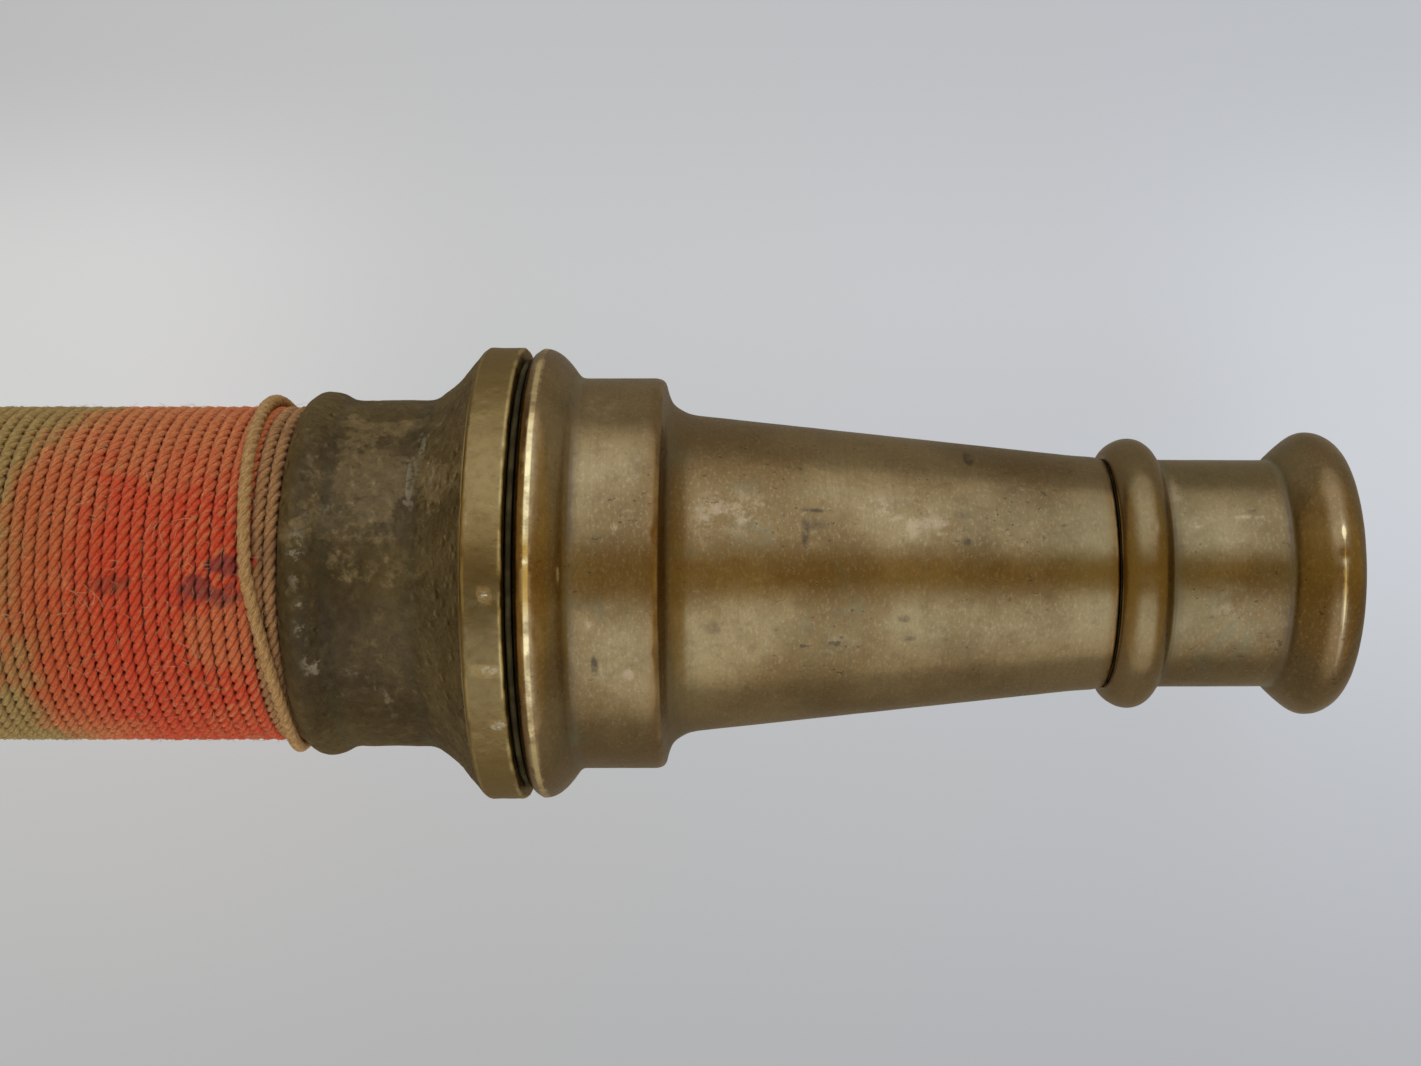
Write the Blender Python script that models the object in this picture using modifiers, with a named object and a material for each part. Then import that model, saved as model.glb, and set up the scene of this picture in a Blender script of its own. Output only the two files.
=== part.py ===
"""A rolled fire hose with a brass nozzle on its outer end.

The hose is a woven jacket with a rubber lining. It lies on its side as a flat roll. Its outer end leaves the
roll in a straight line, swells from flat to round and is bound with twine onto the ribbed tail of a cast
coupling. The nozzle screws on this coupling, and a tip screws on the nozzle. The inner end curls into the
open core of the roll, where it is bound onto the tail of the swivel coupling that takes the water.

Frame: +Z is up and the floor is z = 0. +X runs along the nozzle to its mouth. The origin is on the floor
under the middle of the whole object's box. Turned outlines are in millimetres, and all else is in metres.
"""

import math

import bmesh
import bpy
from mathutils import Vector

MM = 0.001
CLEARANCE = 0.0003

# Hose
JACKET_RADIUS = 0.0246
JACKET_WALL = 0.0016
LINING_WALL = 0.0006
BINDING_WALL = 0.0016
FLAT_HALF_THICKNESS = 0.0022
TURN_PITCH = 0.0047

# Roll
CORE_RADIUS = 0.0956
CURL_RADIUS = 0.040
WHOLE_TURNS = 17
TANGENT_FROM_SEAT = 0.268
SEAM_FROM_TANGENT = 0.042
CURL_START_DEGREES = 39.0

# Couplings, in millimetres along the axis from the seat between coupling and nozzle
FLANGE_RADIUS = 35.8
COLLAR_FACE = -34.6
TAIL_LENGTH = 54.0
TAIL_RADIUS = 21.8
TAIL_RIBS = 6
WATERWAY_RADIUS = 18.5
THREAD_RADIUS = 26.4
THREAD_BORE_RADIUS = 26.9
TIE_WIDTH = 4.5
BOUND_LENGTH = 63.0
INLET_BOUND_LENGTH = 57.0
NOZZLE_FRONT = 127.0
BASE_RADIUS = 31.0
TIP_RADIUS = 18.1
TIP_THREAD_RADIUS = 14.8
TIP_BORE_RADIUS = 15.2
TIP_RECESS_RADIUS = 18.2
NOZZLE_OUTLET_RADIUS = 12.4
JET_RADIUS = 8.0
NUT_RADIUS = 35.0
NUT_FRONT = 42.0
NUT_BACK = 9.0
SWIVEL_RADIUS = 25.5
SWIVEL_BORE_RADIUS = 25.9
SWIVEL_FRONT = 24.0
WIRE_AT = 15.5
WIRE_GROOVE_HALF_WIDTH = 1.5

# The plug of the hole by which the retaining wire is fed in
PLUG_RADIUS = 0.002

TURNED_STEPS = 28
ROLL_STEPS = 72
SECTION_POINTS = 20
LEAD_RINGS = 12
CURL_RINGS = 14

AXIS_HEIGHT = FLANGE_RADIUS * MM
CURL_TURN = math.asin(CURL_RADIUS / (CORE_RADIUS - CURL_RADIUS))
CURL_SWEEP = math.pi / 2 + CURL_TURN
CURL_OFFSET = math.sqrt((CORE_RADIUS - CURL_RADIUS) ** 2 - CURL_RADIUS**2)
INLET_STRAIGHT = 0.060


def flat_half_width(half_thickness):
    """Half the width of the flattened tube, whose woven girth stays the same."""
    girth = 2 * math.pi * JACKET_RADIUS
    return half_thickness + (girth - 2 * math.pi * half_thickness) / 4


ROLL_HEIGHT = 2 * flat_half_width(FLAT_HALF_THICKNESS)
TURNS = WHOLE_TURNS + (math.pi / 2 - CURL_TURN) / (2 * math.pi)
OUTER_TURN = CORE_RADIUS + TURNS * TURN_PITCH
ROLL_OUTER = OUTER_TURN + TURN_PITCH / 2
ROLL_INNER = CORE_RADIUS - TURN_PITCH / 2

# Places in the frame, so that the box stands centred on the origin
SEAT_X = (TANGENT_FROM_SEAT + ROLL_OUTER - NOZZLE_FRONT * MM) / 2
SEAT_Y = (FLANGE_RADIUS * MM - OUTER_TURN - ROLL_OUTER) / 2
OUTLET_AXIS = Vector((SEAT_X, SEAT_Y, AXIS_HEIGHT))
ROLL_CENTRE = Vector((SEAT_X - TANGENT_FROM_SEAT, SEAT_Y + OUTER_TURN, 0))
INLET_AXIS = ROLL_CENTRE + Vector((INLET_STRAIGHT - CURL_OFFSET, 0, AXIS_HEIGHT))


def remove_scene_objects():
    for obj in list(bpy.data.objects):
        bpy.data.objects.remove(obj, do_unlink=True)


def new_collection(name):
    collection = bpy.data.collections.new(name)
    bpy.context.scene.collection.children.link(collection)
    return collection


def new_material(name, colour, roughness, metallic):
    material = bpy.data.materials.new(name)
    material.use_nodes = True
    shader = material.node_tree.nodes["Principled BSDF"]
    shader.inputs["Base Color"].default_value = (*colour, 1)
    shader.inputs["Roughness"].default_value = roughness
    shader.inputs["Metallic"].default_value = metallic
    material.diffuse_color = (*colour, 1)
    return material


def add_object(name, mesh, material, collection):
    obj = bpy.data.objects.new(name, mesh)
    mesh.materials.append(material)
    collection.objects.link(obj)
    return obj


def turned(name, outline, place, material, upright=False, steps=TURNED_STEPS):
    """Turns a closed outline of (along, radius) millimetres about the X direction, or Z if upright.

    The outline runs back along the outer side and returns along the inner side.
    """
    mesh = bpy.data.meshes.new(name)
    points = [(radius * MM, 0, along * MM) for along, radius in outline]
    edges = [(i, (i + 1) % len(points)) for i in range(len(points))]
    mesh.from_pydata(points, edges, [])
    obj = add_object(name, mesh, material, parts)
    obj.location = place
    if not upright:
        obj.rotation_euler = (0, math.pi / 2, 0)
    screw = obj.modifiers.new("turn", "SCREW")
    screw.axis = "Z"
    screw.steps = steps
    screw.render_steps = steps
    screw.use_merge_vertices = True
    screw.merge_threshold = 0.00001
    return obj


def cut(obj, cutter):
    """Takes the cutter's shape out of the object and hides the cutter."""
    cutter.hide_render = True
    cutter.display_type = "WIRE"
    boolean = obj.modifiers.new("cut_" + cutter.name, "BOOLEAN")
    boolean.operation = "DIFFERENCE"
    boolean.solver = "EXACT"
    boolean.object = cutter


def lofted(name, rings, material):
    """A closed body through rings of the same number of points, with a cap on the first and the last."""
    body = bmesh.new()
    loops = [[body.verts.new(point) for point in ring] for ring in rings]
    for first, second in zip(loops, loops[1:]):
        count = len(first)
        for i in range(count):
            j = (i + 1) % count
            body.faces.new((first[i], first[j], second[j], second[i]))
    body.faces.new(loops[0])
    body.faces.new(loops[-1])
    bmesh.ops.recalc_face_normals(body, faces=body.faces)
    mesh = bpy.data.meshes.new(name)
    body.to_mesh(mesh)
    body.free()
    return add_object(name, mesh, material, parts)


def circle_ring(middle, radius):
    """A ring of points round the X direction."""
    ring = []
    for i in range(SECTION_POINTS):
        angle = 2 * math.pi * (i + 0.5) / SECTION_POINTS
        ring.append(middle + Vector((0, radius * math.cos(angle), radius * math.sin(angle))))
    return ring


def hose_ring(middle, across, half_thickness):
    """The hose's outline where it is partly flattened: two round folds joined by flat sides.

    middle is a point of the floor under the hose, and across is the level direction of its thickness.
    """
    swell = (half_thickness - FLAT_HALF_THICKNESS) / (JACKET_RADIUS - FLAT_HALF_THICKNESS)
    height = ROLL_HEIGHT / 2 + (AXIS_HEIGHT - ROLL_HEIGHT / 2) * swell
    straight = flat_half_width(half_thickness) - half_thickness
    ring = []
    for i in range(SECTION_POINTS):
        angle = 2 * math.pi * (i + 0.5) / SECTION_POINTS
        up = half_thickness * math.sin(angle) + math.copysign(straight, math.sin(angle))
        ring.append(middle + across * half_thickness * math.cos(angle) + Vector((0, 0, height + up)))
    return ring


def eased(share):
    return share * share * (3 - 2 * share)


def half_thickness_at(share):
    """From flat at 0 to round at 1."""
    return FLAT_HALF_THICKNESS + (JACKET_RADIUS - FLAT_HALF_THICKNESS) * eased(share)


def bore_rings(collar, depth):
    """The blind bore in the end of the jacket, from its bottom to its mouth at the collar."""
    radius = JACKET_RADIUS - JACKET_WALL
    mouth = collar - Vector((CLEARANCE, 0, 0))
    return [circle_ring(mouth - Vector((depth, 0, 0)), radius), circle_ring(mouth, radius)]


def floor_under(point):
    return Vector((point.x, point.y, 0))


def make_hose_lead():
    """The outer end, from the outlet's collar to where it meets the roll."""
    collar = OUTLET_AXIS + Vector((COLLAR_FACE * MM, 0, 0))
    across = Vector((0, 1, 0))
    rings = bore_rings(collar, BOUND_LENGTH * MM)
    mouth = collar - Vector((CLEARANCE, 0, 0))
    rings.append(hose_ring(floor_under(mouth), across, JACKET_RADIUS))
    swell_start = OUTLET_AXIS.x + (COLLAR_FACE - BOUND_LENGTH) * MM
    seam = ROLL_CENTRE.x + SEAM_FROM_TANGENT
    for i in range(LEAD_RINGS + 1):
        share = 1 - i / LEAD_RINGS
        x = seam + (swell_start - seam) * share
        rings.append(hose_ring(Vector((x, OUTLET_AXIS.y, 0)), across, half_thickness_at(share)))
    lofted("hose_lead", rings, canvas)


def make_hose_core_end():
    """The inner end, which curls off the innermost turn and swells to round at the inlet's binding."""
    collar = INLET_AXIS
    rings = bore_rings(collar, INLET_BOUND_LENGTH * MM)
    mouth = collar - Vector((CLEARANCE, 0, 0))
    rings.append(hose_ring(floor_under(mouth), Vector((0, 1, 0)), JACKET_RADIUS))
    middle = ROLL_CENTRE + Vector((-CURL_OFFSET, -CURL_RADIUS, 0))
    sweep = CURL_SWEEP - math.radians(CURL_START_DEGREES)
    for i in range(CURL_RINGS + 1):
        share = i / CURL_RINGS
        angle = math.pi / 2 + sweep * share
        outward = Vector((math.cos(angle), math.sin(angle), 0))
        rings.append(hose_ring(middle + outward * CURL_RADIUS, outward, half_thickness_at(1 - share)))
    lofted("hose_core_end", rings, canvas)


def make_hose_roll():
    inner = ROLL_INNER / MM
    outer = ROLL_OUTER / MM
    top = ROLL_HEIGHT / MM
    fold = FLAT_HALF_THICKNESS / MM / 2
    outline = [
        (top, outer - fold),
        (top - fold, outer),
        (fold, outer),
        (0, outer - fold),
        (0, inner + fold),
        (fold, inner),
        (top - fold, inner),
        (top, inner + fold),
    ]
    turned("hose_roll", outline, ROLL_CENTRE, canvas, upright=True, steps=ROLL_STEPS)


def sleeve_outline(front, length, inner_radius, wall):
    """A plain ring, with its outer edges eased."""
    edge = min(wall, length) / 4
    outer_radius = inner_radius + wall
    return [
        (front, outer_radius - edge),
        (front - edge, outer_radius),
        (front - length + edge, outer_radius),
        (front - length, outer_radius - edge),
        (front - length, inner_radius),
        (front, inner_radius),
    ]


def tail_outline(face):
    """The ribbed tail from the collar's face down to its end, then the edge of the waterway."""
    pitch = TAIL_LENGTH / (TAIL_RIBS + 1)
    outline = [(face, TAIL_RADIUS - 0.8)]
    for i in range(TAIL_RIBS):
        crest = face - pitch * (i + 1)
        outline += [(crest + 2.0, TAIL_RADIUS), (crest, TAIL_RADIUS), (crest - 0.6, TAIL_RADIUS - 0.8)]
    end = face - TAIL_LENGTH
    outline += [(end + 1.5, TAIL_RADIUS - 1.0), (end, TAIL_RADIUS - 1.8), (end, WATERWAY_RADIUS)]
    return outline


def collar_outline(face):
    """The rounded bead at the hose end of a coupling, from its front to its face."""
    return [
        (face + 5.7, 27.6),
        (face + 4.9, 28.3),
        (face + 3.9, 28.8),
        (face + 2.9, 28.9),
        (face + 1.8, 28.5),
        (face + 0.8, 27.7),
        (face + 0.1, 26.8),
        (face, 26.3),
    ]


def make_outlet_coupling():
    face_radius = FLANGE_RADIUS - 0.4
    outline = [
        (14.5, THREAD_RADIUS - 1.2),
        (13.4, THREAD_RADIUS),
        (-0.7, THREAD_RADIUS),
        (-0.7, face_radius),
        (-1.1, FLANGE_RADIUS),
        (-6.1, FLANGE_RADIUS),
        (-6.6, FLANGE_RADIUS - 0.3),
        (-9.1, 32.7),
        (-11.1, 30.2),
        (-12.5, 28.9),
        (-14.0, 28.05),
        (-15.1, 27.3),
        (-15.7, 27.5),
    ]
    outline += collar_outline(COLLAR_FACE)
    outline += tail_outline(COLLAR_FACE)
    outline += [(13.7, WATERWAY_RADIUS), (14.5, WATERWAY_RADIUS + 0.8)]
    return turned("outlet_coupling", outline, OUTLET_AXIS, cast_brass)


def make_nozzle_body():
    outline = [
        (101.2, TIP_THREAD_RADIUS - 1.0),
        (100.4, TIP_THREAD_RADIUS),
        (90.2, TIP_THREAD_RADIUS),
        (90.2, 18.3),
        (89.9, 18.55),
        (85.6, 18.8),
        (25.8, 25.15),
        (24.2, 25.7),
        (22.9, 26.8),
        (22.1, 27.8),
        (21.5, 29.6),
        (20.8, 30.6),
        (20.0, BASE_RADIUS),
        (8.4, BASE_RADIUS),
        (7.8, 31.5),
        (6.6, 33.0),
        (5.2, 34.4),
        (3.8, 35.3),
        (2.4, 35.6),
        (1.2, 34.9),
        (0.7, 34.3),
        (0.7, THREAD_BORE_RADIUS + 0.8),
        (1.5, THREAD_BORE_RADIUS),
        (16.5, THREAD_BORE_RADIUS),
        (16.5, 22.0),
        (88.0, NOZZLE_OUTLET_RADIUS),
        (101.2, NOZZLE_OUTLET_RADIUS),
    ]
    return turned("nozzle_body", outline, OUTLET_AXIS, turned_brass)


def make_nozzle_tip():
    outline = [
        (NOZZLE_FRONT, 20.2),
        (126.4, 21.2),
        (125.5, 21.9),
        (124.3, 22.4),
        (122.9, 22.5),
        (121.5, 22.0),
        (119.5, 20.5),
        (117.6, 18.9),
        (116.9, TIP_RADIUS),
        (98.4, TIP_RADIUS),
        (98.1, 19.2),
        (97.3, 20.3),
        (96.1, 21.1),
        (94.6, 21.5),
        (92.9, 21.2),
        (91.6, 20.5),
        (90.7, 19.6),
        (90.5, 19.0),
        (90.5, TIP_RECESS_RADIUS),
        (91.3, TIP_RECESS_RADIUS),
        (91.3, TIP_BORE_RADIUS + 0.7),
        (92.0, TIP_BORE_RADIUS),
        (102.4, TIP_BORE_RADIUS),
        (102.4, NOZZLE_OUTLET_RADIUS),
        (103.5, NOZZLE_OUTLET_RADIUS),
        (112.0, JET_RADIUS),
        (126.0, JET_RADIUS),
        (NOZZLE_FRONT, JET_RADIUS + 1.0),
    ]
    return turned("nozzle_tip", outline, OUTLET_AXIS, turned_brass)


def make_washers():
    """Each lies against the face that it seals: its front, thickness, hole radius and width are given."""
    flange_washer = sleeve_outline(0.4, 0.8, THREAD_BORE_RADIUS, 7.3)
    turned("nozzle_washer", flange_washer, OUTLET_AXIS, leather)
    turned("tip_washer", sleeve_outline(91.0, 0.5, TIP_BORE_RADIUS, 2.7), OUTLET_AXIS, leather)
    mouth_washer = sleeve_outline(SWIVEL_FRONT + 2.5, 2.2, WATERWAY_RADIUS + 1.0, 7.0)
    turned("inlet_washer", mouth_washer, INLET_AXIS, rubber)


def make_bound_end(end, place, face, bound_length):
    """What holds one end of the hose on its tail: the lining inside, then the twine outside the jacket."""
    clearance = CLEARANCE / MM
    lining_radius = TAIL_RADIUS + clearance
    front = face - clearance
    lining = sleeve_outline(front, bound_length - 2 * clearance, lining_radius, LINING_WALL / MM)
    turned(end + "_lining", lining, place, rubber)
    twine_radius = JACKET_RADIUS / MM + clearance
    tie = sleeve_outline(front, TIE_WIDTH, twine_radius, BINDING_WALL / MM)
    turned(end + "_tie_cord", tie, place, natural_twine)
    binding_front = front - TIE_WIDTH - clearance
    binding_length = bound_length - TIE_WIDTH - 2 * clearance
    binding = sleeve_outline(binding_front, binding_length, twine_radius, BINDING_WALL / MM)
    turned(end + "_binding", binding, place, painted_twine)


def make_inlet_tail():
    groove_front = WIRE_AT + WIRE_GROOVE_HALF_WIDTH
    groove_back = WIRE_AT - WIRE_GROOVE_HALF_WIDTH
    groove_radius = SWIVEL_RADIUS - 1.3
    outline = [
        (SWIVEL_FRONT, SWIVEL_RADIUS - 0.8),
        (SWIVEL_FRONT - 0.8, SWIVEL_RADIUS),
        (groove_front, SWIVEL_RADIUS),
        (groove_front, groove_radius),
        (groove_back, groove_radius),
        (groove_back, SWIVEL_RADIUS),
        (6.6, SWIVEL_RADIUS),
    ]
    outline += collar_outline(0)
    outline += tail_outline(0)
    outline += [(SWIVEL_FRONT - 0.8, WATERWAY_RADIUS), (SWIVEL_FRONT, WATERWAY_RADIUS + 0.8)]
    return turned("inlet_tail", outline, INLET_AXIS, cast_brass)


def add_box(name, size, place, collection):
    bpy.ops.mesh.primitive_cube_add(size=1, location=place)
    box = bpy.context.object
    box.name = name
    box.scale = size
    bpy.ops.object.transform_apply(location=False, rotation=False, scale=True)
    move_to(box, collection)
    return box


def add_upright_rod(name, radius, length, place, collection):
    bpy.ops.mesh.primitive_cylinder_add(vertices=16, radius=radius, depth=length, location=place)
    rod = bpy.context.object
    rod.name = name
    move_to(rod, collection)
    return rod


def move_to(obj, collection):
    for old in list(obj.users_collection):
        old.objects.unlink(obj)
    collection.objects.link(obj)


def make_swivel_nut():
    """The nut that turns on the inlet tail, with spanner slots in the rim of its mouth."""
    groove_front = WIRE_AT + WIRE_GROOVE_HALF_WIDTH
    groove_back = WIRE_AT - WIRE_GROOVE_HALF_WIDTH
    groove_radius = SWIVEL_BORE_RADIUS + 1.3
    outline = [
        (NUT_FRONT, NUT_RADIUS - 0.8),
        (NUT_FRONT - 0.8, NUT_RADIUS),
        (NUT_FRONT - 6.0, NUT_RADIUS),
        (NUT_FRONT - 7.6, 33.6),
        (NUT_FRONT - 9.6, BASE_RADIUS),
        (NUT_BACK + 4.0, BASE_RADIUS),
        (NUT_BACK + 1.2, BASE_RADIUS - 0.7),
        (NUT_BACK, BASE_RADIUS - 2.2),
        (NUT_BACK, SWIVEL_BORE_RADIUS + 0.5),
        (NUT_BACK + 0.5, SWIVEL_BORE_RADIUS),
        (groove_back, SWIVEL_BORE_RADIUS),
        (groove_back, groove_radius),
        (groove_front, groove_radius),
        (groove_front, SWIVEL_BORE_RADIUS),
        (SWIVEL_FRONT, SWIVEL_BORE_RADIUS),
        (SWIVEL_FRONT, THREAD_BORE_RADIUS),
        (NUT_FRONT - 1.0, THREAD_BORE_RADIUS),
        (NUT_FRONT, THREAD_BORE_RADIUS + 1.0),
    ]
    nut = turned("inlet_swivel_nut", outline, INLET_AXIS, turned_brass)
    slot_size = (0.007, 0.007, 0.008)
    slot_place = Vector(((NUT_FRONT - 2.5) * MM, 0, 0))
    for i in range(4):
        angle = math.pi / 4 + math.pi / 2 * i
        outward = Vector((0, math.cos(angle), math.sin(angle)))
        place = INLET_AXIS + slot_place + outward * (NUT_RADIUS + 1.0) * MM
        slot = add_box(f"spanner_slot_{i}", slot_size, place, cutters)
        slot.rotation_euler = (angle, 0, 0)
        cut(nut, slot)
    hole_radius = PLUG_RADIUS + CLEARANCE
    hole_place = INLET_AXIS + Vector((WIRE_AT * MM, 0, BASE_RADIUS * MM))
    cut(nut, add_upright_rod("wire_hole", hole_radius, 0.010, hole_place, cutters))


def make_wire_and_plug():
    """The wire that holds the nut on the tail, and the plug of the hole it is fed in by."""
    wire_radius = 0.0012
    ring_radius = 0.0257
    middle = INLET_AXIS + Vector((WIRE_AT * MM, 0, 0))
    bpy.ops.mesh.primitive_torus_add(
        location=middle,
        rotation=(0, math.pi / 2, 0),
        major_segments=TURNED_STEPS,
        minor_segments=6,
        major_radius=ring_radius,
        minor_radius=wire_radius,
    )
    wire = bpy.context.object
    wire.name = "inlet_retaining_wire"
    wire.data.materials.append(steel)
    move_to(wire, parts)
    plug_bottom = 0.0275
    plug_top = 0.0309
    plug_place = middle + Vector((0, 0, (plug_bottom + plug_top) / 2))
    plug = add_upright_rod("inlet_wire_plug", PLUG_RADIUS, plug_top - plug_bottom, plug_place, parts)
    plug.data.materials.append(turned_brass)
    screwdriver_slot = (3 * PLUG_RADIUS, 0.0007, 0.0016)
    slot_place = middle + Vector((0, 0, plug_top))
    cut(plug, add_box("plug_slot", screwdriver_slot, slot_place, cutters))


def shade_round_pieces():
    for obj in parts.objects:
        obj.data.shade_smooth()
        obj.data.set_sharp_from_angle(angle=math.radians(35))


remove_scene_objects()
parts = new_collection("rolled_fire_hose")
cutters = new_collection("cutters")

canvas = new_material("woven_canvas", (0.46, 0.39, 0.28), 0.95, 0)
rubber = new_material("black_rubber", (0.02, 0.02, 0.02), 0.8, 0)
leather = new_material("washer_leather", (0.03, 0.03, 0.02), 0.85, 0)
painted_twine = new_material("painted_twine", (0.42, 0.05, 0.03), 0.9, 0)
natural_twine = new_material("natural_twine", (0.36, 0.25, 0.15), 0.95, 0)
cast_brass = new_material("cast_brass", (0.33, 0.27, 0.15), 0.55, 1)
turned_brass = new_material("turned_brass", (0.42, 0.31, 0.13), 0.35, 1)
steel = new_material("steel_wire", (0.4, 0.4, 0.4), 0.4, 1)

make_hose_roll()
make_hose_lead()
make_hose_core_end()
make_outlet_coupling()
make_nozzle_body()
make_nozzle_tip()
make_washers()
make_inlet_tail()
make_swivel_nut()
make_wire_and_plug()
make_bound_end("outlet", OUTLET_AXIS, COLLAR_FACE, BOUND_LENGTH)
make_bound_end("inlet", INLET_AXIS, 0, INLET_BOUND_LENGTH)
shade_round_pieces()
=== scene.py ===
"""The rolled fire hose: its visible surfaces, materials, light and camera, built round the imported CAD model.

All lengths are in metres, in the frame of the CAD model: +Z up, the floor at z = 0, +X along the nozzle.
Turned outlines are in millimetres along the axis from the seat between coupling and nozzle.
"""

import math

import bpy
import numpy as np
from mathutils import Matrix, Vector, noise


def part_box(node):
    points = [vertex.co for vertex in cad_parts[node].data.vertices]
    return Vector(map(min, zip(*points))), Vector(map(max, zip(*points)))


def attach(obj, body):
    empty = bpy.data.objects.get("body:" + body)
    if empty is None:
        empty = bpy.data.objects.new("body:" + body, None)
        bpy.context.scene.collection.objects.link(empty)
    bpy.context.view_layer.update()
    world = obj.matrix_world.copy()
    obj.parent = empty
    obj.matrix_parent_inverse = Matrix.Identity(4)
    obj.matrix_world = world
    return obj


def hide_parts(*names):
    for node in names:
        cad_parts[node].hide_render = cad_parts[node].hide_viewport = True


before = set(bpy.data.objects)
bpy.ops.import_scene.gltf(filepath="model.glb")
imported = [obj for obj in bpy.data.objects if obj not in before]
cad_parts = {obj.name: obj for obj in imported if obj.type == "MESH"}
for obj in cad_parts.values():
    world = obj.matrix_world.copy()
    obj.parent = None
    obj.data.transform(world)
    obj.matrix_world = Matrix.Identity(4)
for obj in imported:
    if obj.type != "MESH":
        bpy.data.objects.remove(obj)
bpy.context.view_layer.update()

MM = 0.001
TAU = 2 * math.pi

# Driving dimensions, the same as the CAD model's
JACKET_RADIUS = 0.0246
GIRTH = TAU * JACKET_RADIUS
FLAT_HALF_THICKNESS = 0.0022
TURN_PITCH = 0.0047
CORE_RADIUS = 0.0956
CURL_RADIUS = 0.040
WHOLE_TURNS = 17
TANGENT_FROM_SEAT = 0.268
INLET_STRAIGHT = 0.060
COLLAR_FACE = -34.6
BOUND_LENGTH = 63.0
NOZZLE_FRONT = 127.0
THREAD_PITCH = 2.5
TIP_THREAD_PITCH = 2.0
THREAD_BORE = 26.9
WATERWAY_RADIUS = 18.5
BARREL_RADIUS = 27.5
NOZZLE_OUTLET = 12.4

# Twine
TWINE_RADIUS = 0.00100
TWINE_PITCH = 0.00197
TWINE_LAY = 0.0057
WOUND_RADIUS = 0.02552
PLY_SHAPE = [0.62, 0.90, 1.0, 0.90]

# Places read from the frame
nozzle_low, nozzle_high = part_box("nozzle_tip")
roll_low, roll_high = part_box("hose_roll")
nut_low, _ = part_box("inlet_swivel_nut")
SEAT = Vector((
    nozzle_high[0] - NOZZLE_FRONT * MM,
    (nozzle_low[1] + nozzle_high[1]) / 2,
    (nozzle_low[2] + nozzle_high[2]) / 2,
))
AXIS_HEIGHT = SEAT.z
ROLL_CENTRE = Vector(((roll_low[0] + roll_high[0]) / 2, (roll_low[1] + roll_high[1]) / 2, 0))
ROLL_HEIGHT = roll_high[2]
NUT_BACK = 9.0
INLET = Vector((nut_low[0] - NUT_BACK * MM, ROLL_CENTRE.y, AXIS_HEIGHT))

CURL_TURN = math.asin(CURL_RADIUS / (CORE_RADIUS - CURL_RADIUS))
CURL_SWEEP = math.pi / 2 + CURL_TURN
CURL_OFFSET = math.sqrt((CORE_RADIUS - CURL_RADIUS) ** 2 - CURL_RADIUS**2)
LEAD_LENGTH = TANGENT_FROM_SEAT + COLLAR_FACE * MM
ROUND_LENGTH = BOUND_LENGTH * MM
TURNS = WHOLE_TURNS + (math.pi / 2 - CURL_TURN) / TAU
OUTER_TURN = CORE_RADIUS + TURNS * TURN_PITCH
SPIRAL_LENGTH = math.pi * TURNS * (OUTER_TURN + CORE_RADIUS)
FREE_ON_ROLL = 0.92
FLAT_BEFORE_ROLL = 0.042
SETTLING_RUN = 0.3
INLET_BOUND = INLET_STRAIGHT - 0.003


# ---- camera

def make_camera():
    """Straight above the nozzle, near the middle of its length, with the hose running out to the left."""
    height_over_axis = 0.308
    along_from_seat = 0.0341
    image_width = 1421
    camera = placed("camera", bpy.data.cameras.new("camera"))
    camera.location = SEAT + Vector((along_from_seat, 0, height_over_axis))
    camera.data.sensor_width = 36
    camera.data.lens = 48.8
    camera.data.shift_x = -36.5 / image_width
    camera.data.shift_y = 40.2 / image_width
    camera.data.clip_start = 0.01
    bpy.context.scene.camera = camera


# ---- mesh tools

def placed(name, data):
    obj = bpy.data.objects.new(name, data)
    bpy.context.scene.collection.objects.link(obj)
    return obj


def unit(vectors):
    return vectors / np.linalg.norm(vectors, axis=-1, keepdims=True)


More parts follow.
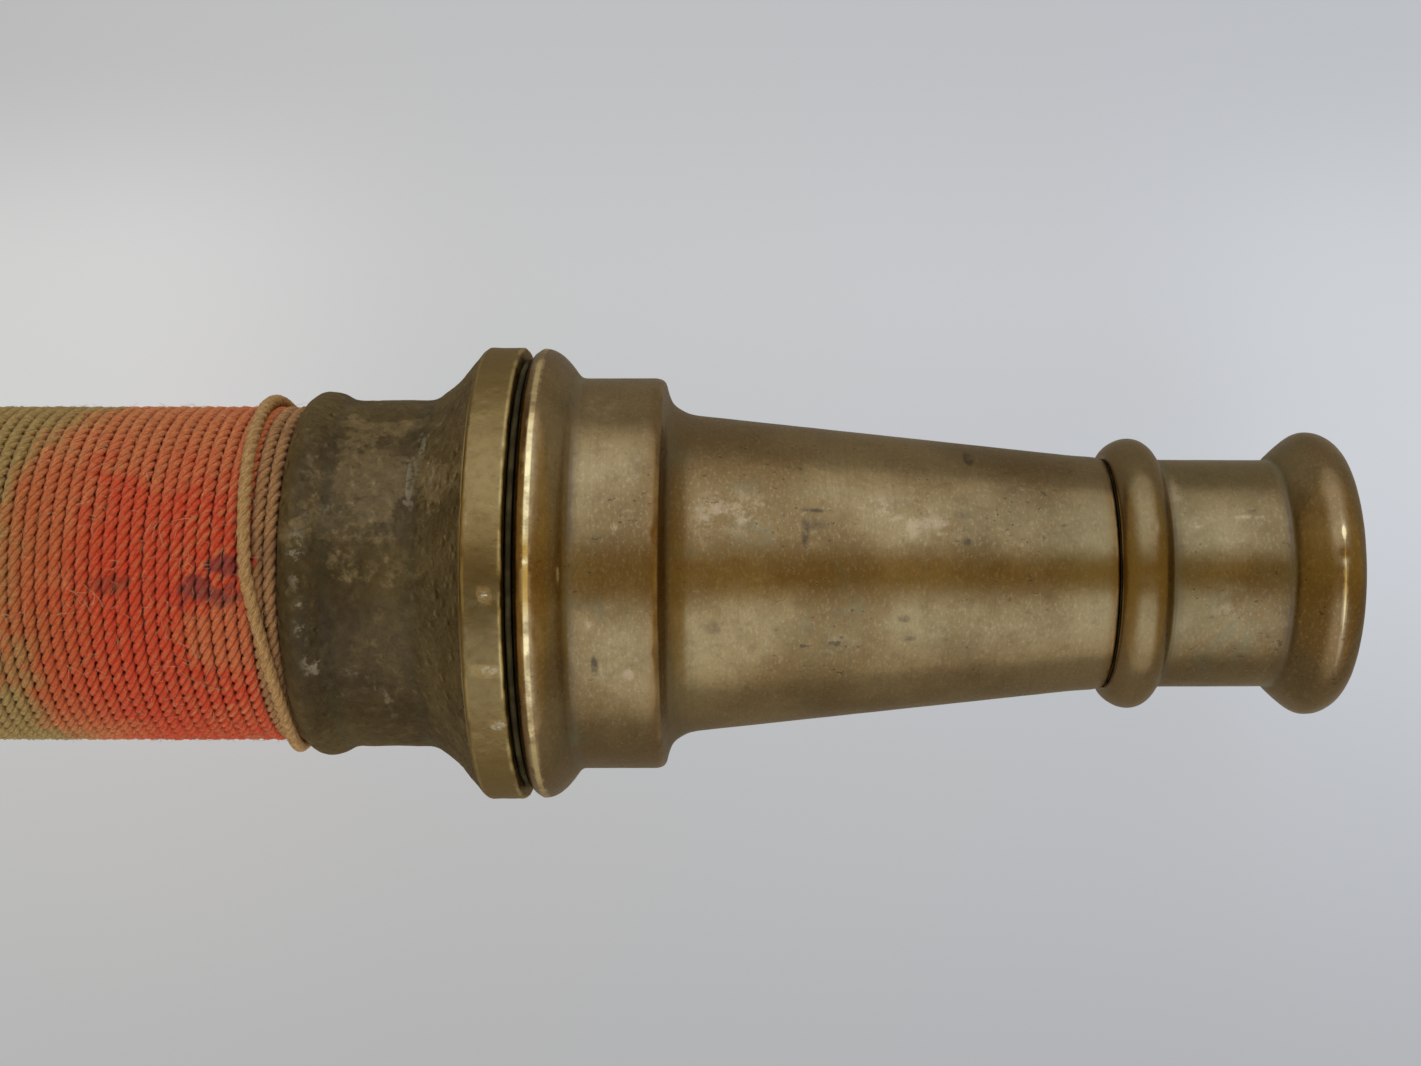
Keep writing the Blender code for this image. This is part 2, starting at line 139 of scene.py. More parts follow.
def surface(name, grid, wrap_rows=False, caps=False, uv_rows=None, uv_columns=None):
    """A tube over a grid of points (rows, columns, xyz), faces outward, with an optional UV map in metres."""
    rows, columns = grid.shape[:2]
    index = np.arange(rows * columns).reshape(rows, columns)
    if wrap_rows:
        upper, lower = index, np.roll(index, -1, axis=0)
    else:
        upper, lower = index[:-1], index[1:]
    corners = [upper, np.roll(upper, -1, axis=1), np.roll(lower, -1, axis=1), lower]
    quads = np.stack(corners, axis=-1).reshape(-1, 4)
    points = grid.reshape(-1, 3)
    corners = points[quads]
    middle = points.mean(axis=0)
    cross = np.cross(corners[:, 2] - corners[:, 0], corners[:, 3] - corners[:, 1])
    volume = np.einsum("ij,ij->i", corners.mean(axis=1) - middle, cross).sum()
    flipped = volume < 0
    if flipped:
        quads = quads[:, ::-1]
    loops = quads.reshape(-1)
    starts = np.arange(len(quads)) * 4
    if caps:
        first, last = index[0], index[-1][::-1]
        if flipped:
            first, last = first[::-1], last[::-1]
        starts = np.concatenate([starts, [len(loops), len(loops) + columns]])
        loops = np.concatenate([loops, first, last])
    mesh = bpy.data.meshes.new(name)
    mesh.vertices.add(len(points))
    mesh.vertices.foreach_set("co", points.astype(np.float32).ravel())
    mesh.loops.add(len(loops))
    mesh.loops.foreach_set("vertex_index", loops.astype(np.int32))
    mesh.polygons.add(len(starts))
    mesh.polygons.foreach_set("loop_start", starts.astype(np.int32))
    mesh.polygons.foreach_set("use_smooth", np.ones(len(starts), dtype=bool))
    mesh.update(calc_edges=True)
    mesh.validate()
    if uv_rows is not None:
        row_at = np.repeat(np.arange(len(upper)), columns)
        column_at = np.tile(np.arange(columns), len(upper))
        u = np.stack([uv_rows[row_at + step] for step in (0, 0, 1, 1)], axis=-1)
        v = np.stack([uv_columns[column_at + step] for step in (0, 1, 1, 0)], axis=-1)
        uv = np.stack([u, v], axis=-1)
        if flipped:
            uv = uv[:, ::-1]
        uv = uv.reshape(-1, 2)
        filler = np.zeros((len(loops) - len(uv), 2))
        layer = mesh.uv_layers.new(name="lay")
        layer.data.foreach_set("uv", np.concatenate([uv, filler]).astype(np.float32).ravel())
    return placed(name, mesh)


def attribute(obj, name, values):
    layer = obj.data.attributes.new(name, "FLOAT", "POINT")
    layer.data.foreach_set("value", np.asarray(values, dtype=np.float32).ravel())


def finish_piece(obj, body, material, slot, *nodes):
    obj.data.materials.append(material)
    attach(obj, body)
    if nodes:
        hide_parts(*nodes)


def eased(share):
    share = np.clip(share, 0, 1)
    return share * share * (3 - 2 * share)


# ---- hose

def flat_half_width(half_thickness):
    return half_thickness + (GIRTH - TAU * half_thickness) / 4


def hose_section(half_thickness, count):
    """(across, up) points of the hose's outline: two round folds joined by flat sides, even in girth."""
    straight = flat_half_width(half_thickness) - half_thickness
    arc = math.pi * half_thickness
    girth = 2 * arc + 4 * straight
    points = []
    for share in (np.arange(count) + 0.5) / count:
        run = share * girth
        side = 1
        if run > girth / 2:
            run -= girth / 2
            side = -1
        if run < straight:
            across, up = half_thickness, run
        elif run < straight + arc:
            angle = (run - straight) / half_thickness
            across, up = half_thickness * math.cos(angle), straight + half_thickness * math.sin(angle)
        else:
            across, up = -half_thickness, straight - (run - straight - arc)
        points.append((across * side, up * side))
    return np.array(points)


def evenly(start, end, step):
    count = int((end - start) / step)
    return [start + (end - start) * i / count for i in range(count + 1)]


def half_at(swell):
    return FLAT_HALF_THICKNESS + (JACKET_RADIUS - FLAT_HALF_THICKNESS) * float(swell)


def spot_on(centre, radius, angle):
    """A point at the angle on a circle, and the direction out of it."""
    outward = (math.cos(angle), math.sin(angle))
    return (centre[0] + outward[0] * radius, centre[1] + outward[1] * radius), outward


def lead_stations(step):
    """Along the straight lead, from the collar to the roll: run, point, outward, half thickness."""
    flat_from = LEAD_LENGTH - FLAT_BEFORE_ROLL
    stations = []
    for run in evenly(0, LEAD_LENGTH, step):
        half = half_at(eased((flat_from - run) / (flat_from - ROUND_LENGTH)))
        stations.append((run, (SEAT.x + COLLAR_FACE * MM - run, SEAT.y), (0.0, -1.0), half))
    return stations


def spiral_stations(start, end, step):
    """Along the roll between two runs from its start, clockwise seen from above, from the outside in."""
    stations = []
    for run in evenly(start, end, step):
        radius = math.sqrt(max(OUTER_TURN**2 - run * TURN_PITCH / math.pi, 0))
        angle = -math.pi / 2 - TAU * (OUTER_TURN - radius) / TURN_PITCH
        stations.append((LEAD_LENGTH + run, *spot_on(ROLL_CENTRE, radius, angle), FLAT_HALF_THICKNESS))
    return stations


def core_end_stations(step):
    """From the innermost turn round the small curl, then straight to the inlet's collar."""
    start = LEAD_LENGTH + SPIRAL_LENGTH
    curl = (ROLL_CENTRE.x - CURL_OFFSET, ROLL_CENTRE.y - CURL_RADIUS)
    flat_angle = math.radians(39)
    stations = []
    for turned in evenly(0, CURL_SWEEP, step / CURL_RADIUS)[1:]:
        angle = math.pi / 2 + CURL_SWEEP - turned
        half = half_at(eased((turned - flat_angle) / (CURL_SWEEP - flat_angle)))
        stations.append((start + turned * CURL_RADIUS, *spot_on(curl, CURL_RADIUS, angle), half))
    curl_end = start + CURL_SWEEP * CURL_RADIUS
    for run in evenly(0, INLET_STRAIGHT, step)[1:]:
        stations.append((curl_end + run, (curl[0] + run, ROLL_CENTRE.y), (0.0, 1.0), JACKET_RADIUS))
    return stations


def hose_piece(name, stations, count):
    """The jacket over the stations, with its turns not quite level, like a roll wound by hand."""
    sections = {}
    grid = np.empty((len(stations), count, 3))
    for i, (run, point, outward, half) in enumerate(stations):
        key = round(half, 6)
        if key not in sections:
            sections[key] = hose_section(half, count)
        swell = (half - FLAT_HALF_THICKNESS) / (JACKET_RADIUS - FLAT_HALF_THICKNESS)
        height = ROLL_HEIGHT / 2 + (AXIS_HEIGHT - ROLL_HEIGHT / 2) * swell
        settled = min(max(run - LEAD_LENGTH, 0) / SETTLING_RUN, 1) * (1 - swell)
        lift = (0.5 + 0.5 * noise.noise(Vector((run * 1.9, 3.1, 0)))) * 0.0021 * settled
        lift += (0.5 + 0.5 * noise.noise(Vector((run * 9.0, 7.7, 0)))) * 0.0005 * settled
        slack = noise.noise(Vector((run * 14.0, 1.3, 0))) * 0.00012 * settled
        across, up = sections[key][:, 0], sections[key][:, 1]
        grid[i, :, 0] = point[0] + outward[0] * (across + slack)
        grid[i, :, 1] = point[1] + outward[1] * (across + slack)
        grid[i, :, 2] = height + lift + up
    runs = np.array([station[0] for station in stations])
    return surface(name, grid, caps=True, uv_rows=runs, uv_columns=np.arange(count + 1) / count * GIRTH)


def make_hose(material):
    """The free outer end as a cord, then the wound rest with its core end as a folded flat tube."""
    outer = lead_stations(step=0.003)[:-1] + spiral_stations(0, FREE_ON_ROLL, step=0.005)
    lead = hose_piece("hose_outer_end", outer, count=40)
    finish_piece(lead, "hose", material, "canvas", "hose_lead")
    wound = spiral_stations(FREE_ON_ROLL, SPIRAL_LENGTH, step=0.006) + core_end_stations(step=0.003)
    roll = hose_piece("hose_wound", wound, count=28)
    finish_piece(roll, "hose", material, "canvas", "hose_roll", "hose_core_end")


# ---- twine

def underside_first(turned):
    """The angle round the hose after so many turns from its underside."""
    return TAU * (turned - 0.25)


def twine_piece(name, axis_point, turned, along, proud, plies, fray=None):
    """Three-ply twine wound on the hose.

    turned holds the turns made at each station, along the place from the axis point in X, and proud how far
    the twine lies above the wound layer. Each column of the mesh follows one ply round the twine.
    """
    angle = underside_first(turned)

    def wander(values, frequency, row):
        """Smooth random values, which differ from twine to twine."""
        return np.array([noise.noise(Vector((value * frequency, row, along[0] * 900))) for value in values])

    wobble, drift = wander(turned, 7.0, 0.5), wander(turned, 2.2, 9.5)
    radius = WOUND_RADIUS + proud + wobble * 0.00006
    centre = np.stack(
        [
            axis_point.x + along + drift * 0.00008,
            axis_point.y + radius * np.cos(angle),
            axis_point.z + radius * np.sin(angle),
        ],
        axis=1,
    )
    tangent = unit(np.gradient(centre, axis=0))
    outward = np.stack([np.zeros_like(angle), np.cos(angle), np.sin(angle)], axis=1)
    outward = unit(outward - tangent * np.einsum("ij,ij->i", outward, tangent)[:, None])
    sideways = np.cross(tangent, outward)
    run = turned * TAU * WOUND_RADIUS
    shape = np.array(plies * 3)
    sides = len(shape)
    around = np.arange(sides) / sides * TAU
    twist = TAU * run / TWINE_LAY + 0.6 * drift
    spin = around[None, :] + twist[:, None]
    lobes = np.repeat(shape[None, :], len(turned), axis=0)
    if fray is not None:
        lobes = lobes + (0.86 + 0.10 * np.sin(spin * 2) - lobes) * fray[:, None]
    size = TWINE_RADIUS * 1.10 * lobes * (1 + 0.07 * wander(run, 420.0, 4.5)[:, None])
    grid = (
        centre[:, None, :]
        + outward[:, None, :] * (size * np.cos(spin))[:, :, None]
        + sideways[:, None, :] * (size * np.sin(spin))[:, :, None]
    )
    girth = np.arange(sides + 1) / sides * TWINE_RADIUS * TAU
    obj = surface(name, grid, caps=True, uv_rows=run, uv_columns=girth)
    attribute(obj, "ply", np.clip((lobes - 0.6) * 2.5, 0, 1))
    attribute(obj, "fray", np.zeros_like(lobes) if fray is None else np.repeat(fray[:, None], sides, axis=1))
    return obj


def wound_place(turned):
    """How far behind the collar the twine lies: level turns next to it, which ease into an even helix."""
    nearest = np.round(turned)
    level = nearest - 1 + eased((turned - nearest) / 0.2 + 0.5) + 0.5
    return 0.0003 + TWINE_PITCH * (turned + (level - turned) * np.exp(-((turned / 5) ** 2)))


def tie_lanes(turned):
    """Where the three turns of the tie run from the collar, and how proud they lie.

    The first two turns lie side by side at the collar, in line with the binding behind them. The third is
    the loose end, which slants over them both.
    """
    angle = underside_first(turned)
    lower_side = np.maximum(-np.cos(angle), 0) * np.maximum(np.sin(angle), 0)
    loose = -0.0041 - 0.0017 * np.cos(angle) - 0.0004 * np.sin(angle) + 0.0036 * lower_side
    over = 0.0017 + 0.0002 * np.abs(np.cos(angle))
    to_loose = eased((turned - 1.80) / 0.30)
    return loose * to_loose - wound_place(turned) * (1 - to_loose), over * to_loose


def make_binding(end, axis_point, collar, bound_length, painted, natural, step, plies):
    """The bare tie next to the collar and the painted binding behind it."""
    turn_length = TAU * WOUND_RADIUS
    tie_start, tie_turns = 0.08, 2.98
    turned = np.linspace(tie_start, tie_turns, int(tie_turns * turn_length / step))
    along, proud = tie_lanes(turned)
    sunk = 0.0011 * (1 - eased((turned - tie_start) / 0.10)) + 0.0016 * (1 - eased((tie_turns - turned) / 0.10))
    fray = eased((turned - 1.95) / 0.3) * 0.30
    tie = twine_piece(end + "_tie_turns", axis_point, turned, collar + along, proud - sunk, plies, fray)
    finish_piece(tie, "hose", natural, "natural_twine", end + "_tie_cord")
    turns = bound_length / TWINE_PITCH - 0.8
    turned = np.linspace(2, turns, int((turns - 2) * turn_length / step))
    sunk = 0.0011 * (1 - eased(np.minimum(turned - 2, turns - turned) / 0.12))
    along = collar - wound_place(turned)
    binding = twine_piece(end + "_binding_turns", axis_point, turned, along, -sunk, plies)
    finish_piece(binding, "hose", painted, "painted_twine", end + "_binding")


def make_fuzz(end, axis_point, collar, bound_length, count, seed, material, slot):
    """Loose fibres that stand out of the twine: thin curved hairs, each a closed three-sided tube."""
    rng = np.random.default_rng(seed)
    stations, sides = 5, 3
    share = np.linspace(0, 1, stations)[None, :, None]
    angle = rng.uniform(0, TAU, count)
    along = collar - rng.uniform(0.0012, bound_length - 0.0010, count)
    outward = np.stack([np.zeros(count), np.cos(angle), np.sin(angle)], axis=1)
    around = np.stack([np.zeros(count), -np.sin(angle), np.cos(angle)], axis=1)
    forward = np.tile([1.0, 0.0, 0.0], (count, 1))
    root = np.stack([axis_point.x + along, np.full(count, axis_point.y), np.full(count, axis_point.z)], axis=1)
    root = root + outward * (WOUND_RADIUS + TWINE_RADIUS * 0.75)
    reach = rng.uniform(0.0008, 0.0026, (count, 1))
    lean = around * rng.normal(0, 0.8, (count, 1)) + forward * rng.normal(0, 0.7, (count, 1))
    lift = outward * rng.uniform(0.15, 0.65, (count, 1))
    curl = around * rng.normal(0, 0.5, (count, 1)) + forward * rng.normal(0, 0.5, (count, 1)) - outward * 0.25
    lean, lift, curl, reach = lean[:, None], lift[:, None], curl[:, None], reach[:, None]
    spine = root[:, None] + reach * (share * (lean + lift) + share**2 * curl)
    tangent = unit(np.gradient(spine, axis=1))
    first = unit(np.cross(tangent, forward[:, None] + 0.3 * around[:, None] + 0.2 * outward[:, None]))
    second = np.cross(tangent, first)
    thickness = 0.000045 * (1.15 - share)
    rings = []
    for side in range(sides):
        turn = TAU * side / sides
        rings.append(spine + thickness * (first * math.cos(turn) + second * math.sin(turn)))
    points = np.stack(rings, axis=2).reshape(-1, 3)
    hair_faces = []
    for ring in range(0, (stations - 1) * sides, sides):
        for j in range(sides):
            corner, following = ring + j, ring + (j + 1) % sides
            hair_faces.append((corner, following, following + sides, corner + sides))
    hair_faces += [(2, 1, 0), tuple(range((stations - 1) * sides, stations * sides))]
    bases = range(0, len(points), stations * sides)
    faces = [[base + corner for corner in face] for base in bases for face in hair_faces]
    mesh = bpy.data.meshes.new(end + "_twine_fuzz")
    mesh.from_pydata(points.tolist(), [], faces)
    mesh.shade_smooth()
    finish_piece(placed(end + "_twine_fuzz", mesh), "hose", material, slot)


# ---- brass pieces

def filleted(outline, steps=6):
    """A closed outline of (along, radius, fillet) with each corner rounded by its fillet."""
    points = []
    count = len(outline)
    for i, (along, radius, fillet) in enumerate(outline):
        corner = np.array([along, radius])
        if fillet <= 0:
            points.append(corner)
            continue
        before = np.array(outline[i - 1][:2]) - corner
        after = np.array(outline[(i + 1) % count][:2]) - corner
        reach_before = min(fillet, np.linalg.norm(before) * 0.48)
        reach_after = min(fillet, np.linalg.norm(after) * 0.48)
        start = corner + before / np.linalg.norm(before) * reach_before
        end = corner + after / np.linalg.norm(after) * reach_after
        for k in range(steps + 1):
            t = k / steps
            points.append((1 - t) ** 2 * start + 2 * t * (1 - t) * corner + t * t * end)
    return np.array(points)


def refined(points, spacing, threads):
    """The closed outline with extra points, so that none are further apart than the spacing."""
    out = []
    for i, point in enumerate(points):
        after = points[(i + 1) % len(points)]
        gap = spacing
        for start, end, radius, _, _ in threads:
            on_thread = abs(point[1] - radius) < 0.01 and abs(after[1] - radius) < 0.01
            if on_thread and start - 0.01 <= (point[0] + after[0]) / 2 <= end + 0.01:
                gap = 0.28
        pieces = max(1, int(math.ceil(np.linalg.norm(after - point) / gap)))
        for k in range(pieces):
            out.append(point + (after - point) * k / pieces)
    return np.array(out)


def outline_normals(points):
    ahead = np.roll(points, -1, axis=0) - np.roll(points, 1, axis=0)
    ahead /= np.maximum(np.linalg.norm(ahead, axis=1), 1e-9)[:, None]
    area = np.sum(points[:, 0] * np.roll(points[:, 1], -1) - np.roll(points[:, 0], -1) * points[:, 1])
    side = 1 if area > 0 else -1
    return np.stack([ahead[:, 1], -ahead[:, 0]], axis=1) * side


def convexity(points, normals, reach):
    """How far the outline bends out (above 0) or in (below 0) within reach of each point."""
    steps = np.linalg.norm(np.roll(points, -1, axis=0) - points, axis=1)
    at = np.concatenate([[0], np.cumsum(steps)])
    closed = np.concatenate([points, points[:1]])
    both = 0
    for shift in (-reach, reach):
        where = np.mod(at[:-1] + shift, at[-1])
        both = both + np.stack([np.interp(where, at, closed[:, axis]) for axis in (0, 1)], axis=1) / 2
    return -np.einsum("ij,ij->i", both - points, normals) / reach


def round_from(angles, degrees):
    """The angles as seen from the one in degrees, between minus and plus half a turn."""
    return np.angle(np.exp(1j * (angles - math.radians(degrees))))[None, :]


def painted_marks(points, angles, marks):
    """Where pale bloom (above 0) and dark stain (below 0) lie on a turned piece."""
    painted = np.zeros((len(points), len(angles)))
    reach_out = 3.0
    for along, degrees, radius, reach_along, reach_round, strength in marks:
        away = ((points[:, 0] - along) / reach_along) ** 2 + ((points[:, 1] - radius) / reach_out) ** 2
        away = away[:, None] + (round_from(angles, degrees) * radius / reach_round) ** 2
        painted += strength * np.exp(-away)
    return painted


def turned_piece(name, outline, origin, segments, cast, spacing=0.8, threads=(), dents=(), notch=None, marks=()):
    """A turned shape about the X direction through origin, with cast roughness, threads, dents and marks."""
    points = refined(filleted(outline), spacing, threads)
    normals = outline_normals(points)
    angles = np.arange(segments) / segments * TAU
    push = np.zeros((len(points), segments))
    for start, end, radius, pitch, depth in threads:
        rows = (points[:, 0] >= start) & (points[:, 0] <= end) & (np.abs(points[:, 1] - radius) < 0.01)
        fade = np.clip(np.minimum(points[rows, 0] - start, end - points[rows, 0]) / 1.2, 0, 1)
        wave = points[rows, 0][:, None] / pitch - angles[None, :] / TAU
        saw = np.abs(2 * (wave - np.floor(wave + 0.5)))
        push[rows] -= depth * saw * fade[:, None]
    for i, (along, radius) in enumerate(points):
        for j, angle in enumerate(angles):
            place = Vector((along, radius * math.cos(angle), radius * math.sin(angle)))
            push[i, j] += cast * noise.noise(place * 0.35) + cast * 0.45 * noise.noise(place * 1.1)
    for along, degrees, radius, reach, depth in dents:
        away = (points[:, 0] - along)[:, None] ** 2 + (points[:, 1] - radius)[:, None] ** 2
        away = away + (round_from(angles, degrees) * radius) ** 2
        push -= depth * np.exp(-away / reach**2)
    if notch is not None:
        push -= notch(points, angles)
    moved_along = points[:, 0][:, None] + normals[:, 0][:, None] * push
    moved_radius = points[:, 1][:, None] + normals[:, 1][:, None] * push
    grid = np.stack(
        [
            origin.x + moved_along * MM,
            origin.y + moved_radius * np.cos(angles)[None, :] * MM,
            origin.z + moved_radius * np.sin(angles)[None, :] * MM,
        ],
        axis=-1,
    )
    obj = surface(name, grid, wrap_rows=True)
    ones = np.ones((1, segments))
    attribute(obj, "edge", convexity(points, normals, 0.7)[:, None] * ones)
    attribute(obj, "hollow", -convexity(points, normals, 2.4)[:, None] * ones)
    attribute(obj, "mark", painted_marks(points, angles, marks))
    return obj


def tail_outline(face):
    """The ribbed tail in the hose, from the collar's face back."""
    ribs, length, radius = 6, 54.0, 21.8
    pitch = length / (ribs + 1)
    outline = [(face, radius - 0.8, 0.3)]
    for i in range(ribs):
        crest = face - pitch * (i + 1)
        outline += [(crest + 2.0, radius, 0.2), (crest, radius, 0.2), (crest - 0.6, radius - 0.8, 0.2)]
    end = face - length
    outline += [(end + 1.5, radius - 1.0, 0.3), (end, radius - 1.8, 0.3), (end, WATERWAY_RADIUS, 0.3)]
    return outline


def collar_outline(face):
    return [
        (face + 6.6, BARREL_RADIUS, 1.3), (face + 4.7, 28.6, 1.4), (face + 2.9, 29.0, 1.2),
        (face + 1.4, 28.55, 0.9), (face, 27.2, 0.8), (face, 26.0, 0),
    ]


def make_outlet_coupling(material):
    flange, thread = 35.8, 26.4
    outline = [
        (14.5, thread - 1.2, 0.3), (13.4, thread, 0.2), (0.9, thread, 0), (0.9, thread - 0.9, 0.2),
        (-0.7, thread - 0.9, 0.3), (-0.7, flange, 0.5), (-6.25, flange, 0.45), (-6.75, 35.3, 0.5),
        (-10.9, 30.35, 1.6), (-14.9, BARREL_RADIUS, 1.6),
    ]
    outline += collar_outline(COLLAR_FACE)
    outline += tail_outline(COLLAR_FACE)
    outline += [(13.7, WATERWAY_RADIUS, 0.4), (14.5, WATERWAY_RADIUS + 0.8, 0.2)]
    dents = [
        (-1.0, 97, 35.6, 0.7, 0.30), (-6.4, 74, 35.6, 0.6, 0.25), (-3.5, 52, 35.8, 0.9, 0.10),
        (-1.0, 118, 35.6, 0.5, 0.25), (-31.7, 82, 28.9, 1.4, 0.20), (-22.0, 66, 27.5, 2.2, 0.12),
        (-19.0, 101, 27.5, 1.6, 0.14), (-26.0, 95, 27.5, 1.1, 0.12),
    ]
    marks = [
        (-3.1, 95, 35.8, 0.6, 0.6, 7.0), (-5.6, 78, 35.8, 0.5, 2.0, 0.9), (-3.1, 113, 35.8, 1.4, 0.45, 5.0),
        (-2.3, 128.7, 35.8, 0.6, 0.5, 5.2), (-1.4, 127.7, 35.8, 0.6, 0.5, 5.2), (-15.5, 60, 27.8, 1.4, 6.0, 1.0),
        (-31.5, 84, 28.9, 1.6, 4.5, 1.0), (-31.0, 104, 28.9, 1.3, 5.5, 0.9), (-29.5, 119, 28.6, 1.8, 2.2, 1.0),
        (-26.5, 70, 27.6, 2.5, 2.0, 0.8), (-24.0, 122, 27.5, 3.0, 1.6, 0.7), (-3.7, 93, 35.8, 6.0, 8.5, -0.75),
        (-3.7, 118, 35.8, 6.0, 11.0, -0.45), (-15.6, 60, 27.5, 0.6, 5.0, 1.9), (-14.2, 47, 28.1, 0.8, 4.5, 1.8),
        (-17.5, 75, 27.4, 1.6, 3.0, -0.5), (-21.0, 98, 27.5, 3.5, 5.0, -0.4),
    ]
    obj = turned_piece(
        "outlet_coupling_cast", outline, SEAT, segments=288, cast=0.11,
        threads=[(0.9, 13.4, thread, THREAD_PITCH, 1.1)], dents=dents, marks=marks,
    )
    finish_piece(obj, "hose", material, "cast_brass", "outlet_coupling")


def make_nozzle(material):
    outline = [
        (101.2, 13.8, 0.2), (100.4, 14.8, 0.2), (90.2, 14.8, 0.2), (90.2, 18.3, 0.25), (88.9, 18.56, 1.0),
        (85.6, 18.78, 1.6), (26.0, 25.15, 0.8), (24.6, 25.5, 1.3), (22.4, 26.8, 1.2), (21.6, 28.9, 0.9),
        (21.1, 31.0, 1.7), (8.3, 31.0, 0.6), (7.6, 31.5, 0.6), (6.4, 33.2, 1.0), (5.0, 34.7, 1.2),
        (3.6, 35.5, 0.9), (2.3, 35.7, 0.3), (1.1, 34.9, 0.4), (0.7, 34.1, 0.3), (0.7, THREAD_BORE + 0.9, 0.2),
        (1.6, THREAD_BORE, 0.2), (16.5, THREAD_BORE, 0), (16.5, 22.0, 0.4), (88.0, NOZZLE_OUTLET, 2.0),
        (101.2, NOZZLE_OUTLET, 0.2),
    ]
    dents = [
        (2.6, 86, 35.5, 0.55, 0.35), (2.4, 62, 35.5, 0.5, 0.30), (2.6, 128, 35.5, 0.6, 0.25),
        (4.4, 104, 35.6, 0.6, 0.22), (21.2, 80, 30.8, 0.7, 0.35), (21.2, 112, 30.8, 0.6, 0.30),
        (69.8, 109, 21.5, 0.5, 0.22), (44.1, 78, 24.0, 0.7, 0.20), (36.0, 115, 24.8, 1.5, 0.07),
        (54.0, 98, 23.0, 1.8, 0.06), (14.0, 70, 31.0, 1.5, 0.08),
    ]
    marks = [
        (33.0, 68, 24.4, 4.5, 3.5, 0.9), (27.5, 74, 25.0, 2.0, 6.0, 0.5), (57.0, 64, 21.6, 6.0, 2.6, 0.8),
        (63.0, 71, 21.0, 2.6, 1.6, 0.6), (44.8, 72, 23.0, 2.6, 1.8, -0.6), (42.8, 76, 23.4, 0.35, 2.4, -1.2),
        (44.5, 66, 23.2, 2.8, 0.35, -1.0), (67.0, 77, 21.0, 1.0, 0.9, -0.9), (65.4, 72, 21.1, 2.4, 0.35, -1.2),
        (59.0, 73, 21.6, 0.8, 1.6, 0.8), (29.0, 109, 24.9, 1.6, 1.4, -0.7), (76.5, 107, 19.8, 0.7, 0.4, -1.1),
        (58.6, 117, 21.5, 1.0, 0.4, -1.0), (37.6, 96, 24.0, 0.3, 0.5, -1.3), (66.0, 65, 21.0, 2.8, 1.2, -0.6),
        (68.3, 31, 20.7, 0.55, 1.7, -3.0), (57.6, 108, 21.5, 0.9, 0.55, -1.6), (2.7, 88, 35.6, 0.6, 400.0, 2.3),
        (11.4, 104, 31.0, 0.45, 0.5, 1.6), (12.3, 81, 31.0, 0.22, 1.2, 2.6), (11.6, 79, 31.0, 0.16, 0.7, 2.4),
        (15.0, 77, 31.0, 0.14, 1.0, 2.4), (7.0, 91, 32.4, 0.18, 1.5, 1.9), (16.8, 118, 31.0, 0.9, 1.4, 0.9),
        (11.9, 116, 31.0, 0.2, 1.6, -1.6), (12.0, 35, 31.0, 4.0, 3.5, 0.6), (47.0, 118, 22.8, 5.0, 3.0, 0.4),
        (74.0, 116, 19.8, 6.0, 2.2, 0.4),
    ]
    obj = turned_piece(
        "nozzle_turned", outline, SEAT, segments=288, cast=0.018,
        threads=[(1.6, 16.4, THREAD_BORE, THREAD_PITCH, -1.0), (90.4, 100.4, 14.8, TIP_THREAD_PITCH, 0.7)],
        dents=dents, marks=marks,
    )
    finish_piece(obj, "nozzle", material, "turned_brass", "nozzle_body")


def make_tip(material):
    jet = 8.0
    outline = [
        (127.0, 19.8, 1.0), (126.2, 21.0, 0.9), (125.0, 21.9, 0.9), (123.7, 22.4, 0.8), (122.2, 22.5, 0.8),
        (120.9, 22.0, 0.8), (119.0, 20.5, 0.8), (117.3, 18.9, 0.6), (116.7, 18.05, 0.4), (98.4, 18.1, 0.3),
        (98.1, 19.2, 0.4), (97.3, 20.35, 0.8), (96.0, 21.25, 0.9), (94.5, 21.55, 0.9), (93.0, 21.25, 0.9),
        (91.6, 20.5, 0.8), (90.7, 19.6, 0.5), (90.5, 18.9, 0.25), (90.5, 18.2, 0.1), (91.3, 18.2, 0.1),
        (91.3, 15.9, 0.2), (92.0, 15.2, 0.2), (102.4, 15.2, 0), (102.4, NOZZLE_OUTLET, 0.2),
        (103.5, NOZZLE_OUTLET, 0.8), (112.0, jet, 2.0), (126.0, jet, 0.5), (127.0, jet + 1.0, 0.2),
    ]
    dents = [
        (122.8, 84, 22.5, 0.8, 0.20), (126.4, 118, 21.6, 0.6, 0.30), (95.0, 71, 21.3, 0.7, 0.16),
        (108.0, 100, 18.1, 1.4, 0.07),
    ]
    marks = [
        (102.0, 66, 18.1, 1.0, 0.6, 1.2), (110.0, 62, 18.1, 3.0, 0.5, 0.9), (107.0, 108, 18.1, 4.0, 2.0, 0.5),
        (122.9, 96, 22.5, 0.35, 11.0, 2.0), (122.9, 74, 22.5, 0.45, 1.0, 1.8), (125.2, 78, 22.2, 0.4, 0.5, 1.8),
        (120.9, 92, 22.2, 0.6, 0.2, 1.6), (99.5, 45, 18.1, 1.2, 5.0, 0.7),
    ]
    obj = turned_piece(
        "tip_turned", outline, SEAT, segments=256, spacing=0.6, cast=0.02,
        threads=[(92.0, 102.3, 15.2, TIP_THREAD_PITCH, -0.6)], dents=dents, marks=marks,
    )
    finish_piece(obj, "tip", material, "turned_brass", "nozzle_tip")


